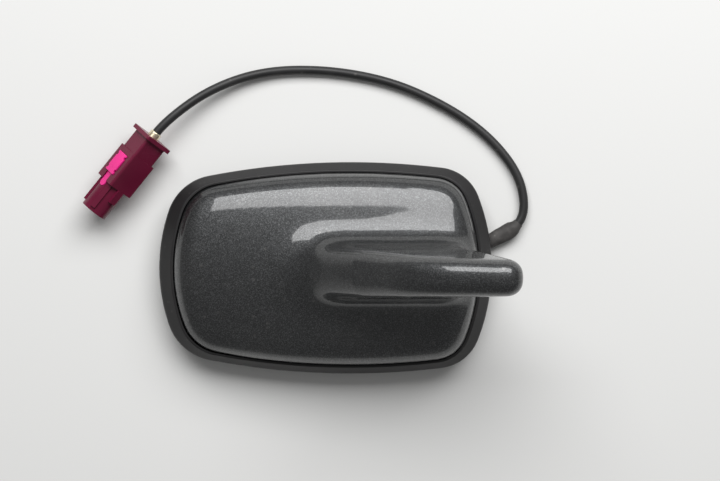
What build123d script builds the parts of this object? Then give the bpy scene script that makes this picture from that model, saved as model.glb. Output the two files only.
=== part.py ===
from build123d import *

import os
from math import cos, radians, sin, tan

# Shark fin roof aerial with a short coaxial lead, in millimetres.
# The origin is on the fixing bolt's axis, in the roof's surface.
# +X points to the car's rear, +Y to its right and +Z up.
# It stands on the spigot's foot, and the lead lies on that same level.

# Rim outline seen from above: four arcs with rounded corners
RIM_LENGTH = 104.0
RIM_WIDTH = 66.2
WIDEST_X = 8.0
SIDE_RADIUS = 234.0
FRONT_RADIUS = 55.0
REAR_RADIUS = 62.0
FRONT_CORNER = 16.5
REAR_CORNER = 14.0

# Rubber rim: a flat web under the cover's edge and a sloping band round it
SEAL_WEB = 1.6
SEAL_WEB_WIDTH = 12.0
SEAL_FOOT = 1.0
SEAL_HEIGHT = 5.5
SEAL_ROUND = 2.5
SEAL_LIP = 0.3
SEAL_LIP_ROUND = 0.4
SEAL_REVEAL = 0.18
SEAL_GROOVE_INSET = 4.0
SEAL_GROOVE_WIDTH = 1.6
SEAL_GROOVE_DEPTH = 0.7

# Cover: drafted walls, crowned top, rounded shoulder
COVER_INSET = 2.7
COVER_FRONT_SETBACK = 1.7
COVER_REAR_SETBACK = 1.1
COVER_WALL = 2.2
COVER_DRAFT = 8.0
DOME_TOP = 17.0
DOME_TOP_X = 12.0
CROWN_LENGTHWISE = 260.0
CROWN_CROSSWISE = 90.0
SHOULDER = 8.0

# Fin: side profile from four slopes, flanks that thin towards the tip
FIN_TOP = 58.0
FIN_OVERHANG = 9.3
FIN_TIP_RADIUS = 5.6
FIN_LEAD_X = -8.0
FIN_LEAD_SLOPE = 45.0
FIN_CREST_SLOPE = 14.0
FIN_CREST_BLEND = 45.0
FIN_TRAIL_SETBACK = 7.2
FIN_TRAIL_SLOPE = 66.0
FIN_TRAIL_BLEND = 16.0
FIN_ROOT_THICKNESS = 18.4
FIN_TIP_THICKNESS = 9.8
FIN_EDGE = 4.5
FIN_ROOT_BLEND = 8.0
FIN_DEPTH = 9.0

# Low swell that the fin stands on: a pear-shaped foot in the dome, a slim crest inside the fin
SWELL_FRONT_RADIUS = 16.5
SWELL_FRONT_LEAD = 13.5
SWELL_REAR_RADIUS = 18.2
SWELL_REAR_SETBACK = 4.0
SWELL_CREST_FRONT_RADIUS = 2.5
SWELL_CREST_FRONT_SETBACK = 9.5
SWELL_CREST_REAR_RADIUS = 3.5
SWELL_CREST_REAR_SETBACK = 14.5
SWELL_DEPTH = 3.8
SWELL_RISE = 8.4
SWELL_BLEND = 25.0

# Die-cast base with a spigot through the roof
BASE_THICKNESS = 3.0
BASE_CLEARANCE = 0.3
SPIGOT_X = 3.0
SPIGOT_LENGTH = 30.0
SPIGOT_WIDTH = 17.0
SPIGOT_CORNER = 4.0
SPIGOT_DEPTH = 7.0
SPIGOT_CHAMFER = 0.6
BOLT_RADIUS = 2.5
BOLT_HOLE_DEPTH = 10.0
HOLE_SEAL_WIDTH = 5.0
HOLE_SEAL_CLEARANCE = 0.3

# Screws that hold the cover, from below
COVER_SCREW_RADIUS = 1.4
COVER_SCREW_HEAD_RADIUS = 2.6
COVER_SCREW_HEAD = 1.5
COVER_SCREW_LENGTH = 6.4
COVER_SCREW_FRONT_X = -30.0
COVER_SCREW_FRONT_Y = 13.5
COVER_SCREW_REAR_X = 31.5
COVER_SCREW_REAR_Y = 15.0
COVER_BOSS_WALL = 1.8
SCREW_CLEARANCE = 0.15
THREAD_CLEARANCE = 0.03
SLOT_SHARE = 0.6

# Circuit board on four posts
BOARD_FRONT_X = -24.0
BOARD_LENGTH = 49.0
BOARD_WIDTH = 30.0
BOARD_THICKNESS = 1.6
BOARD_RISE = 4.4
BOARD_CORNER = 2.0
POST_RADIUS = 2.6
POST_INSET = 4.0
BOARD_SCREW_RADIUS = 1.0
BOARD_SCREW_HEAD_RADIUS = 2.0
BOARD_SCREW_HEAD = 1.0
BOARD_SCREW_LENGTH = 5.0

# Screening can
CAN_X = -11.5
CAN_LENGTH = 13.0
CAN_WIDTH = 13.0
CAN_HEIGHT = 1.6
CAN_SHEET = 0.3

# Radiating blade in the fin, held in a bracket on the board
BLADE_THICKNESS = 1.0
BLADE_GAP = 2.4
BLADE_FRONT_X = 3.0
BLADE_REAR_RISE = 5.0
BRACKET_X = 13.0
BRACKET_LENGTH = 16.0
BRACKET_WIDTH = 6.0
BRACKET_HEIGHT = 4.6
BRACKET_FLOOR = 1.0
BRACKET_CORNER = 1.0
BRACKET_CLEARANCE = 0.05

# Cable, its fixed stretch and what holds it
CABLE_RADIUS = 1.4
CABLE_EXIT_Z = -4.4
CABLE_RISER_X = 11.0
CABLE_END_X = -16.0
CABLE_BEND = 5.0
CABLE_CLEARANCE = 0.05
BEND_SHARE = 0.45
SLEEVE_WALL = 0.65
SLEEVE_LENGTH = 46.0
GROMMET_WIDTH = 7.0
GROMMET_FRONT_X = 6.0
GROMMET_FLANGE = 1.0
GROMMET_LIP = 1.2
GROMMET_GAP = 0.1
TERMINAL_LENGTH = 5.0
TERMINAL_WIDTH = 4.6
TERMINAL_LIFT = 0.3
CLAMP_X = -4.0
CLAMP_LENGTH = 5.0
CLAMP_SHEET = 0.6
CLAMP_WIDTH = 15.0
CLAMP_SCREW_Y = 5.0
CLAMP_SCREW_RADIUS = 0.9
CLAMP_SCREW_HEAD_RADIUS = 1.8
CLAMP_SCREW_HEAD = 1.0
CLAMP_SCREW_LENGTH = 2.6

# Coaxial plug, along its own axis from the flange's back to the nose's end
PLUG_X = -53.8
PLUG_Y = 40.9
PLUG_HEADING = 231.0
PLUG_ROLL = -42.0
PLUG_LEAD_IN = 5.0
FLANGE_SIZE = 10.3
FLANGE_THICKNESS = 1.3
NECK_SIZE = 8.2
NECK_END = 7.5
BODY_SIZE = 9.4
BODY_END = 19.5
PLUG_LENGTH = 29.6
PLUG_EDGE = 0.7
NOSE_RADIUS = 4.3
SOCKET_RADIUS = 3.55
SOCKET_DEPTH = 5.0
CONTACT_BORE_RADIUS = 3.2
CONTACT_BORE_DEPTH = 9.0
SHELL_BORE_RADIUS = 2.7
RIB_ANGLE = 40.0
RIB_WIDTH = 1.6
RIB_HEIGHT = 0.6
RIB_SETBACK = 1.3
KEY_WIDTH = 2.2
KEY_HEIGHT = 0.9
KEY_LENGTH = 4.6
LOCK_START = 9.4
LOCK_LENGTH = 7.3
LOCK_WIDTH = 4.8
LOCK_FLOOR = 3.75
LOCK_HEIGHT = 1.4
LOCK_ROUND = 0.2
LOCK_GAP = 0.1
LOCK_NOTCH = 0.8
TONGUE_LENGTH = 4.9
TONGUE_WIDTH = 2.7
TONGUE_HEIGHT = 0.6
FERRULE_RADIUS = 1.85
FERRULE_OUT = 1.8
FERRULE_IN = 6.0
FERRULE_ROUND = 0.4
SHELL_RADIUS = 2.4
SHELL_WALL = 0.5
SHELL_SETBACK = 0.3
SHELL_FLOOR = 3.0
INSULATOR_LENGTH = 9.0
PIN_RADIUS = 0.48
PIN_PROUD = 3.0
PIN_SEAT = 1.0
PLUG_FIT = 0.05

# Worked out from the sizes above
COVER_REAR_X = RIM_LENGTH / 2 - COVER_INSET - COVER_REAR_SETBACK
FIN_REACH = COVER_REAR_X + FIN_OVERHANG
FIN_TRAIL_X = COVER_REAR_X - FIN_TRAIL_SETBACK
BASE_TOP = SEAL_WEB + BASE_THICKNESS
BOARD_Z = BASE_TOP + BOARD_RISE
BOARD_TOP = BOARD_Z + BOARD_THICKNESS
FLOOR_Z = -SPIGOT_DEPTH
SPIGOT_REAR_X = SPIGOT_X + SPIGOT_LENGTH / 2
CABLE_TOP_Z = BASE_TOP + CABLE_RADIUS + CABLE_CLEARANCE
LYING_Z = FLOOR_Z + CABLE_RADIUS
ROLL_SPREAD = cos(radians(PLUG_ROLL)) + abs(sin(radians(PLUG_ROLL)))
PLUG_Z = FLOOR_Z + (FLANGE_SIZE / 2 - PLUG_EDGE) * ROLL_SPREAD + PLUG_EDGE
PLUG_PLACE = Pos(PLUG_X, PLUG_Y, PLUG_Z) * Rot(0, 0, PLUG_HEADING) * Rot(PLUG_ROLL, 0, 0)
COVER_SCREW_SPOTS = [
    (x, side * y)
    for x, y in (
        (COVER_SCREW_FRONT_X, COVER_SCREW_FRONT_Y),
        (COVER_SCREW_REAR_X, COVER_SCREW_REAR_Y),
    )
    for side in (-1, 1)
]
POST_SPOTS = [
    (x, side * (BOARD_WIDTH / 2 - POST_INSET))
    for x in (BOARD_FRONT_X + POST_INSET, BOARD_FRONT_X + BOARD_LENGTH - POST_INSET)
    for side in (-1, 1)
]
CLAMP_SPOTS = [(CLAMP_X, -CLAMP_SCREW_Y), (CLAMP_X, CLAMP_SCREW_Y)]

# The free cable's route: out of the spigot, under the rear rim, round and forward to the plug
FERRULE_BACK = PLUG_PLACE * Pos(-FERRULE_OUT, 0, 0)
CABLE_LEAD_IN = PLUG_PLACE * Pos(-FERRULE_OUT - PLUG_LEAD_IN, 0, 0)
CABLE_POINTS = [
    (SPIGOT_REAR_X, 0.0, CABLE_EXIT_Z),
    (29.5, 0.0, CABLE_EXIT_Z),
    (43.0, 3.6, -4.5),
    (52.5, 8.6, -4.7),
    (60.2, 12.6, -4.9),
    (62.8, 17.8, -5.1),
    (61.7, 26.5, -5.3),
    (57.2, 34.6, -5.5),
    (48.8, 43.4, LYING_Z),
    (36.6, 51.4, LYING_Z),
    (20.2, 58.6, LYING_Z),
    (0.3, 62.2, LYING_Z),
    (-19.6, 61.8, -5.2),
    (-36.2, 56.0, -2.8),
    tuple(CABLE_LEAD_IN.position),
    tuple(FERRULE_BACK.position),
]


def round_end(radius):
    """A wide strip along +X with a round end towards -X, its centre at the origin."""
    return Circle(radius) + Pos(RIM_LENGTH / 2, 0) * Rectangle(RIM_LENGTH, 2 * radius)


def outline(inset, front=0.0, rear=0.0):
    """The rim's outline, drawn in by an even inset and set back further at the front and rear."""
    nose = Pos(front + FRONT_RADIUS - RIM_LENGTH / 2, 0) * round_end(FRONT_RADIUS - inset)
    tail = Pos(RIM_LENGTH / 2 - REAR_RADIUS - rear, 0) * Rot(0, 0, 180) * round_end(REAR_RADIUS - inset)
    shape = nose & tail
    for side in (-1, 1):
        shape &= Pos(WIDEST_X, side * (RIM_WIDTH / 2 - SIDE_RADIUS)) * Circle(SIDE_RADIUS - inset)
    shape = fillet(shape.vertices().sort_by(Axis.X)[-2:], REAR_CORNER - inset)
    return fillet(shape.vertices().sort_by(Axis.X)[:2], FRONT_CORNER - inset)


def cover_outline(inset, rise=0.0):
    """The cover's outline at some height over its foot, drawn in by an even inset."""
    drawn_in = COVER_INSET + inset + rise * tan(radians(COVER_DRAFT))
    return Pos(0, 0, SEAL_WEB + rise) * outline(drawn_in, COVER_FRONT_SETBACK, COVER_REAR_SETBACK)


def cover_block(inset):
    """A drafted block on the rim's web, with the cover's outline drawn in by the inset."""
    return loft([cover_outline(inset), cover_outline(inset, DOME_TOP)], ruled=True)


def dome(inset):
    """The cover without its fin: the block under a crown curved both ways, with a rounded shoulder."""
    ring = Torus(CROWN_LENGTHWISE - CROWN_CROSSWISE, CROWN_CROSSWISE - inset)
    crown = Pos(DOME_TOP_X, 0, DOME_TOP - CROWN_LENGTHWISE) * Rot(90, 0, 0) * ring
    block = cover_block(inset) & crown
    top = block.faces().filter_by(GeomType.TORUS).sort_by(SortBy.AREA)[-1]
    return fillet(top.edges(), SHOULDER - inset)


def crossing(p, p_slope, q, q_slope):
    """Where a line through p and a line through q meet, with their slopes in degrees."""
    rise_p = tan(radians(p_slope))
    rise_q = tan(radians(q_slope))
    x = (q[1] - p[1] + rise_p * p[0] - rise_q * q[0]) / (rise_p - rise_q)
    return (x, p[1] + rise_p * (x - p[0]))


def fin_profile(inset):
    """The fin from the side: leading edge, crest, round tip and hollow trailing edge."""
    tip_x = FIN_REACH - FIN_TIP_RADIUS
    tip_z = FIN_TOP - FIN_TIP_RADIUS
    crest_turn = radians(FIN_CREST_SLOPE)
    trail_turn = radians(FIN_TRAIL_SLOPE)
    on_crest = (tip_x - FIN_TIP_RADIUS * sin(crest_turn), tip_z + FIN_TIP_RADIUS * cos(crest_turn))
    on_trail = (tip_x + FIN_TIP_RADIUS * sin(trail_turn), tip_z - FIN_TIP_RADIUS * cos(trail_turn))
    root_z = DOME_TOP - FIN_DEPTH
    toe = (FIN_LEAD_X - FIN_DEPTH / tan(radians(FIN_LEAD_SLOPE)), root_z)
    brow = crossing(toe, FIN_LEAD_SLOPE, on_crest, FIN_CREST_SLOPE)
    tip = crossing(on_crest, FIN_CREST_SLOPE, on_trail, FIN_TRAIL_SLOPE)
    heel = (FIN_TRAIL_X, on_trail[1] - (on_trail[0] - FIN_TRAIL_X) * tan(trail_turn))
    end = (FIN_TRAIL_X, root_z)
    edge = FilletPolyline(
        toe, brow, tip, heel, end, radius=[FIN_CREST_BLEND, FIN_TIP_RADIUS, FIN_TRAIL_BLEND]
    )
    face = make_face([*edge.edges(), Line(end, toe)])
    if inset:
        face = offset(face, -inset)
    return Plane.XZ * face


def fin(inset):
    """The fin down into the dome: its profile cut from a tapering slab, with round edges."""
    root_z = DOME_TOP - FIN_DEPTH
    root = FIN_ROOT_THICKNESS / 2 - inset
    top = FIN_TIP_THICKNESS / 2 - inset
    slab = Plane.YZ * Polyline((-root, root_z), (root, root_z), (top, FIN_TOP), (-top, FIN_TOP), close=True)
    slab = extrude(make_face(slab), 2 * RIM_LENGTH, both=True)
    blade = extrude(fin_profile(inset), FIN_ROOT_THICKNESS, both=True) & slab
    flanks = blade.faces().sort_by(SortBy.AREA)[-2:]
    edges = [edge for face in flanks for edge in face.edges().sort_by(Axis.Z)[1:]]
    return fillet(edges, FIN_EDGE - inset)


def pear(start, front_radius, end, rear_radius):
    """Two circles between a start and an end, with the straight lines that touch both, from above."""
    front = Pos(start + front_radius, 0) * Circle(front_radius)
    rear = Pos(end - rear_radius, 0) * Rot(0, 0, 180) * Circle(rear_radius)
    return make_hull(front.edges() + rear.edges())


def swell():
    """The low swell that the fin stands on, with sloping sides all round."""
    foot_z = DOME_TOP - SWELL_DEPTH
    foot_start = FIN_LEAD_X - SWELL_FRONT_LEAD
    foot_end = COVER_REAR_X - SWELL_REAR_SETBACK
    crest_start = FIN_LEAD_X + SWELL_CREST_FRONT_SETBACK
    crest_end = FIN_TRAIL_X - SWELL_CREST_REAR_SETBACK
    foot = pear(foot_start, SWELL_FRONT_RADIUS, foot_end, SWELL_REAR_RADIUS)
    crest = pear(crest_start, SWELL_CREST_FRONT_RADIUS, crest_end, SWELL_CREST_REAR_RADIUS)
    return loft([Pos(0, 0, foot_z) * foot, Pos(0, 0, foot_z + SWELL_RISE) * crest], ruled=True)


def cover():
    """Painted cover: dome, swell and fin flowing into each other, hollow, with four screw bosses."""
    hood = dome(0)
    mound = swell()
    raised = hood + mound
    raised = fillet(new_edges(hood, mound, combined=raised), SWELL_BLEND)
    blade = fin(0)
    outside = raised + blade
    outside = fillet(new_edges(raised, blade, combined=outside), FIN_ROOT_BLEND)
    shell = outside - dome(COVER_WALL) - fin(COVER_WALL) - Pos(0, 0, -COVER_WALL) * mound
    bore = COVER_SCREW_RADIUS + THREAD_CLEARANCE
    depth = SEAL_WEB + COVER_SCREW_HEAD + COVER_SCREW_LENGTH + SCREW_CLEARANCE - BASE_TOP
    boss = extrude(Circle(bore + COVER_BOSS_WALL), DOME_TOP - BASE_TOP) - extrude(Circle(bore), depth)
    for x, y in COVER_SCREW_SPOTS:
        shell += Pos(x, y, BASE_TOP) * boss & outside
    return shell


def rim_seal():
    """Rubber rim: sloping band with a rounded foot, a seat for the cover and a web on the roof."""
    band_foot = Pos(0, 0, SEAL_FOOT) * outline(0)
    band_top = outline(COVER_INSET - SEAL_LIP, COVER_FRONT_SETBACK, COVER_REAR_SETBACK)
    rim = extrude(outline(0), SEAL_FOOT)
    rim += loft([band_foot, Pos(0, 0, SEAL_HEIGHT) * band_top], ruled=True)
    knee = [edge for edge in rim.edges() if abs(edge.center().Z - SEAL_FOOT) < SEAL_FOOT / 10]
    rim = fillet(knee, SEAL_ROUND)
    rim = fillet(rim.faces().sort_by(Axis.Z)[-1].edges(), SEAL_LIP_ROUND)
    groove = outline(SEAL_GROOVE_INSET) - outline(SEAL_GROOVE_INSET + SEAL_GROOVE_WIDTH)
    rim -= extrude(groove, SEAL_GROOVE_DEPTH)
    return rim - cover_block(-SEAL_REVEAL) - extrude(outline(SEAL_WEB_WIDTH), SEAL_WEB)


def spigot_outline(grow):
    """The spigot seen from below, grown by an even margin."""
    size = (SPIGOT_LENGTH + 2 * grow, SPIGOT_WIDTH + 2 * grow)
    return Pos(SPIGOT_X, 0) * RectangleRounded(*size, SPIGOT_CORNER + grow)


def grommet_outline(gap):
    """The slot for the grommet, seen from above: round in front, open at the spigot's rear."""
    radius = GROMMET_WIDTH / 2 - gap
    start = GROMMET_FRONT_X + GROMMET_WIDTH / 2
    length = SPIGOT_REAR_X - start
    return Pos(start, 0) * Circle(radius) + Pos(start + length / 2, 0) * Rectangle(length, 2 * radius)


def base_plate():
    """Die-cast base: plate, spigot with the fixing hole, board posts and screw holes."""
    draft_gain = BASE_THICKNESS * tan(radians(COVER_DRAFT))
    base = extrude(cover_outline(COVER_WALL + draft_gain + BASE_CLEARANCE), BASE_THICKNESS)
    spigot = extrude(Pos(0, 0, FLOOR_Z) * spigot_outline(0), SPIGOT_DEPTH + SEAL_WEB)
    base += chamfer(spigot.faces().sort_by(Axis.Z)[0].edges(), SPIGOT_CHAMFER)
    for x, y in POST_SPOTS:
        base += Pos(x, y, BASE_TOP) * extrude(Circle(POST_RADIUS), BOARD_RISE)
    base -= Pos(0, 0, FLOOR_Z) * extrude(grommet_outline(0), SPIGOT_DEPTH + BASE_TOP)
    base -= Pos(0, 0, FLOOR_Z) * extrude(Circle(BOLT_RADIUS), BOLT_HOLE_DEPTH)
    for x, y in COVER_SCREW_SPOTS:
        base -= Pos(x, y, SEAL_WEB) * extrude(Circle(COVER_SCREW_RADIUS + SCREW_CLEARANCE), BASE_THICKNESS)
        base -= Pos(x, y, SEAL_WEB) * extrude(
            Circle(COVER_SCREW_HEAD_RADIUS + SCREW_CLEARANCE), COVER_SCREW_HEAD
        )
    for x, y in POST_SPOTS:
        depth = BOARD_SCREW_LENGTH - BOARD_THICKNESS + SCREW_CLEARANCE
        base -= Pos(x, y, BOARD_Z) * extrude(Circle(BOARD_SCREW_RADIUS + THREAD_CLEARANCE), -depth)
    for x, y in CLAMP_SPOTS:
        depth = CLAMP_SCREW_LENGTH - CLAMP_SHEET + SCREW_CLEARANCE
        base -= Pos(x, y, BASE_TOP) * extrude(Circle(CLAMP_SCREW_RADIUS + THREAD_CLEARANCE), -depth)
    return base


def hole_seal():
    """Foam ring round the spigot, between the base and the roof."""
    ring = spigot_outline(HOLE_SEAL_CLEARANCE + HOLE_SEAL_WIDTH) - spigot_outline(HOLE_SEAL_CLEARANCE)
    return extrude(ring, SEAL_WEB)


def screw(radius, length, head_radius, head):
    """A slotted screw with a domed head, its seat at z 0 and its shank down along -Z."""
    top = extrude(Circle(head_radius), head)
    top = fillet(top.faces().sort_by(Axis.Z)[-1].edges(), head / 2)
    top -= Pos(0, 0, head) * Box(2 * head_radius, head / 2, 2 * head * SLOT_SHARE)
    return top + extrude(Circle(radius), -length)


def group(piece, places):
    """Copies of one piece, kept as separate solids."""
    return Compound([(place * piece).solid() for place in places])


def cover_screws():
    """Four screws, from below through the base into the cover's bosses."""
    piece = screw(COVER_SCREW_RADIUS, COVER_SCREW_LENGTH, COVER_SCREW_HEAD_RADIUS, COVER_SCREW_HEAD)
    seat = SEAL_WEB + COVER_SCREW_HEAD
    return group(piece, [Pos(x, y, seat) * Rot(180, 0, 0) for x, y in COVER_SCREW_SPOTS])


def circuit_board():
    """Matching board with its four screw holes."""
    middle = BOARD_FRONT_X + BOARD_LENGTH / 2
    board = Pos(middle, 0) * RectangleRounded(BOARD_LENGTH, BOARD_WIDTH, BOARD_CORNER)
    for x, y in POST_SPOTS:
        board -= Pos(x, y) * Circle(BOARD_SCREW_RADIUS + SCREW_CLEARANCE)
    return extrude(Pos(0, 0, BOARD_Z) * board, BOARD_THICKNESS)


def board_screws():
    """Four screws, from above through the board into the posts."""
    piece = screw(BOARD_SCREW_RADIUS, BOARD_SCREW_LENGTH, BOARD_SCREW_HEAD_RADIUS, BOARD_SCREW_HEAD)
    return group(piece, [Pos(x, y, BOARD_TOP) for x, y in POST_SPOTS])


def shield_can():
    """Screening can over the amplifier, open towards the board."""
    can = extrude(RectangleRounded(CAN_LENGTH, CAN_WIDTH, 3 * CAN_SHEET), CAN_HEIGHT)
    can = fillet(can.faces().sort_by(Axis.Z)[-1].edges(), 2 * CAN_SHEET)
    hollow = (CAN_LENGTH - 2 * CAN_SHEET, CAN_WIDTH - 2 * CAN_SHEET)
    can -= extrude(RectangleRounded(*hollow, 2 * CAN_SHEET), CAN_HEIGHT - CAN_SHEET)
    return Pos(CAN_X, 0, BOARD_TOP) * can


def antenna_blade():
    """Radiating blade that follows the fin's profile and stands in the bracket."""
    blade = extrude(fin_profile(COVER_WALL + BLADE_GAP), BLADE_THICKNESS / 2, both=True)
    foot_z = BOARD_TOP + BRACKET_FLOOR
    rear_x = BRACKET_X + BRACKET_LENGTH / 2
    deep = 4 * DOME_TOP
    blade -= Pos(0, 0, foot_z - deep / 2) * Box(4 * RIM_LENGTH, deep, deep)
    blade -= Pos(BLADE_FRONT_X - deep / 2, 0, foot_z) * Box(deep, deep, deep)
    notch_top = foot_z + BLADE_REAR_RISE
    blade -= Pos(rear_x + deep / 2, 0, notch_top - deep / 2) * Box(deep, deep, deep)
    return blade


def blade_bracket():
    """Bracket on the board with a groove for the blade."""
    bracket = extrude(RectangleRounded(BRACKET_LENGTH, BRACKET_WIDTH, BRACKET_CORNER), BRACKET_HEIGHT)
    groove = Rectangle(BRACKET_LENGTH, BLADE_THICKNESS + 2 * BRACKET_CLEARANCE)
    bracket -= Pos(0, 0, BRACKET_FLOOR) * extrude(groove, BRACKET_HEIGHT)
    return Pos(BRACKET_X, 0, BOARD_TOP) * bracket


def tube(path, radius):
    """A round bar along a path."""
    return sweep(Plane(path @ 0, z_dir=path % 0) * Circle(radius), path=path)


def tail_path():
    """The cable's fixed stretch: under the board, down through the base and out at the spigot's rear."""
    return FilletPolyline(
        (CABLE_END_X, 0, CABLE_TOP_Z),
        (CABLE_RISER_X, 0, CABLE_TOP_Z),
        (CABLE_RISER_X, 0, CABLE_EXIT_Z),
        (SPIGOT_REAR_X, 0, CABLE_EXIT_Z),
        radius=CABLE_BEND,
    )


def cable_tail():
    """The cable's fixed stretch inside the base."""
    return tube(tail_path(), CABLE_RADIUS)


def cable_grommet():
    """Rubber grommet in the spigot's slot, with a flange on the base and a way for the cable."""
    foot = FLOOR_Z + SPIGOT_CHAMFER
    body = extrude(Pos(0, 0, foot) * grommet_outline(GROMMET_GAP), BASE_TOP - foot)
    flange = offset(grommet_outline(0), GROMMET_LIP)
    body += extrude(Pos(0, 0, BASE_TOP) * flange, GROMMET_FLANGE)
    return body - tube(tail_path(), CABLE_RADIUS + GROMMET_GAP)


def cable_terminal():
    """Terminal that grips the cable's end under the board."""
    height = BOARD_Z - BASE_TOP - TERMINAL_LIFT
    place = Pos(CABLE_END_X, 0, BOARD_Z - height / 2)
    block = place * Box(TERMINAL_LENGTH, TERMINAL_WIDTH, height)
    way = Line((CABLE_END_X, 0, CABLE_TOP_Z), (0, 0, CABLE_TOP_Z))
    return block - tube(way, CABLE_RADIUS + CABLE_CLEARANCE)


def cable_clamp():
    """Sheet saddle over the cable, with a foot on each side."""
    inner = CABLE_RADIUS + CABLE_CLEARANCE
    outer = inner + CLAMP_SHEET
    rise = CABLE_TOP_Z - BASE_TOP
    hump = Pos(0, rise) * Circle(outer) + Pos(0, rise / 2) * Rectangle(2 * outer, rise)
    hollow = Pos(0, rise) * Circle(inner) + Pos(0, rise / 2) * Rectangle(2 * inner, rise)
    strap = Pos(0, CLAMP_SHEET / 2) * Rectangle(CLAMP_WIDTH, CLAMP_SHEET) + hump - hollow
    strap -= Pos(0, -outer) * Rectangle(CLAMP_WIDTH, 2 * outer)
    clamp = extrude(Plane.YZ * strap, CLAMP_LENGTH / 2, both=True)
    clamp = Pos(CLAMP_X, 0, BASE_TOP) * clamp
    for x, y in CLAMP_SPOTS:
        clamp -= Pos(x, y, BASE_TOP) * extrude(Circle(CLAMP_SCREW_RADIUS + SCREW_CLEARANCE), CLAMP_SHEET)
    return clamp


def clamp_screws():
    """Two screws through the saddle's feet."""
    piece = screw(CLAMP_SCREW_RADIUS, CLAMP_SCREW_LENGTH, CLAMP_SCREW_HEAD_RADIUS, CLAMP_SCREW_HEAD)
    return group(piece, [Pos(x, y, BASE_TOP + CLAMP_SHEET) for x, y in CLAMP_SPOTS])


def cable_path():
    """The free cable's centre line: straight runs joined by arcs as large as the runs allow."""
    points = [Vector(*point) for point in CABLE_POINTS]
    radii = []
    for before, here, after in zip(points, points[1:], points[2:]):
        turn = (here - before).get_angle(after - here)
        shorter = min((here - before).length, (after - here).length)
        radii.append(BEND_SHARE * shorter / tan(radians(turn / 2)))
    return FilletPolyline(*points, radius=radii)


def cable():
    """The free cable, from the spigot to the ferrule."""
    path = cable_path()
    print("cable length", round(path.length, 1))
    return tube(path, CABLE_RADIUS)


def cable_sleeve():
    """Heat-shrink sleeve over the cable's first stretch."""
    path = cable_path()
    path = path.trim(0, SLEEVE_LENGTH / path.length)
    return tube(path, CABLE_RADIUS + SLEEVE_WALL) - tube(path, CABLE_RADIUS + CABLE_CLEARANCE)


def plug_bar(size, start, end):
    """A square stretch of the plug with rounded edges."""
    section = Plane.YZ * RectangleRounded(size, size, PLUG_EDGE)
    return Pos(start, 0, 0) * extrude(section, end - start)


def plug_rod(radius, start, end):
    """A round stretch of the plug."""
    return Pos(start, 0, 0) * extrude(Plane.YZ * Circle(radius), end - start)


def lock_plate(gap):
    """The lock's plate seen square on, with a gap round it."""
    size = (LOCK_LENGTH + 2 * gap, LOCK_WIDTH + 2 * gap)
    return Pos(LOCK_START + LOCK_LENGTH / 2, 0) * Rectangle(*size)


def lock_tongue(gap):
    """The lock's round-ended tongue seen square on, from inside the plate, with a gap round it."""
    start = LOCK_START + LOCK_LENGTH / 2
    width = TONGUE_WIDTH + 2 * gap
    run = LOCK_LENGTH / 2 + TONGUE_LENGTH + gap - width / 2
    return Pos(start + run / 2, 0) * Rectangle(run, width) + Pos(start + run, 0) * Circle(width / 2)


def lock_slab(face, height):
    """A slab on the lock's side of the plug, standing on the lock's floor."""
    side = Plane((0, -LOCK_FLOOR, 0), x_dir=(1, 0, 0), z_dir=(0, -1, 0))
    return extrude(side * face, height)


def plug_housing():
    """Plug housing: flange, neck, body with the lock's pocket, keyed nose and stepped bore."""
    body = plug_bar(FLANGE_SIZE, 0, FLANGE_THICKNESS)
    body += plug_bar(NECK_SIZE, FLANGE_THICKNESS, NECK_END)
    body += plug_bar(BODY_SIZE, NECK_END, BODY_END)
    body += plug_rod(NOSE_RADIUS, BODY_END, PLUG_LENGTH)
    rib_end = PLUG_LENGTH - RIB_SETBACK
    for angle in (90 - RIB_ANGLE, 90 + RIB_ANGLE):
        rib = Box(rib_end - BODY_END, RIB_WIDTH, 2 * RIB_HEIGHT)
        body += Rot(angle, 0, 0) * Pos((BODY_END + rib_end) / 2, 0, NOSE_RADIUS) * rib
    key = Box(KEY_LENGTH, KEY_WIDTH, 2 * KEY_HEIGHT)
    body += Pos(BODY_END + KEY_LENGTH / 2, 0, NOSE_RADIUS) * key
    body -= lock_slab(lock_plate(LOCK_GAP) + lock_tongue(LOCK_GAP), BODY_SIZE)
    body -= plug_rod(SOCKET_RADIUS, PLUG_LENGTH - SOCKET_DEPTH, PLUG_LENGTH)
    body -= plug_rod(CONTACT_BORE_RADIUS, PLUG_LENGTH - CONTACT_BORE_DEPTH, PLUG_LENGTH)
    body -= plug_rod(SHELL_BORE_RADIUS, FERRULE_IN, PLUG_LENGTH)
    body -= plug_rod(FERRULE_RADIUS + PLUG_FIT, 0, FERRULE_IN)
    return PLUG_PLACE * body


def plug_lock():
    """Lock: a raised plate with notched edges, and a lower tongue on the nose."""
    face = lock_plate(0)
    for x in (LOCK_START + LOCK_NOTCH * 1.5, LOCK_START + LOCK_LENGTH - LOCK_NOTCH * 1.5):
        for side in (-1, 1):
            face -= Pos(x, side * LOCK_WIDTH / 2) * Rectangle(LOCK_NOTCH, LOCK_NOTCH)
    plate = lock_slab(face, LOCK_HEIGHT)
    plate = fillet(plate.faces().sort_by(Axis.Y)[0].edges(), LOCK_ROUND)
    return PLUG_PLACE * (plate + lock_slab(lock_tongue(0), TONGUE_HEIGHT))


def crimp_ferrule():
    """Crimped ferrule that the cable ends in."""
    ferrule = plug_rod(FERRULE_RADIUS, -FERRULE_OUT, FERRULE_IN)
    ferrule = fillet(ferrule.edges().sort_by(Axis.X)[0], FERRULE_ROUND)
    return PLUG_PLACE * ferrule


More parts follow.
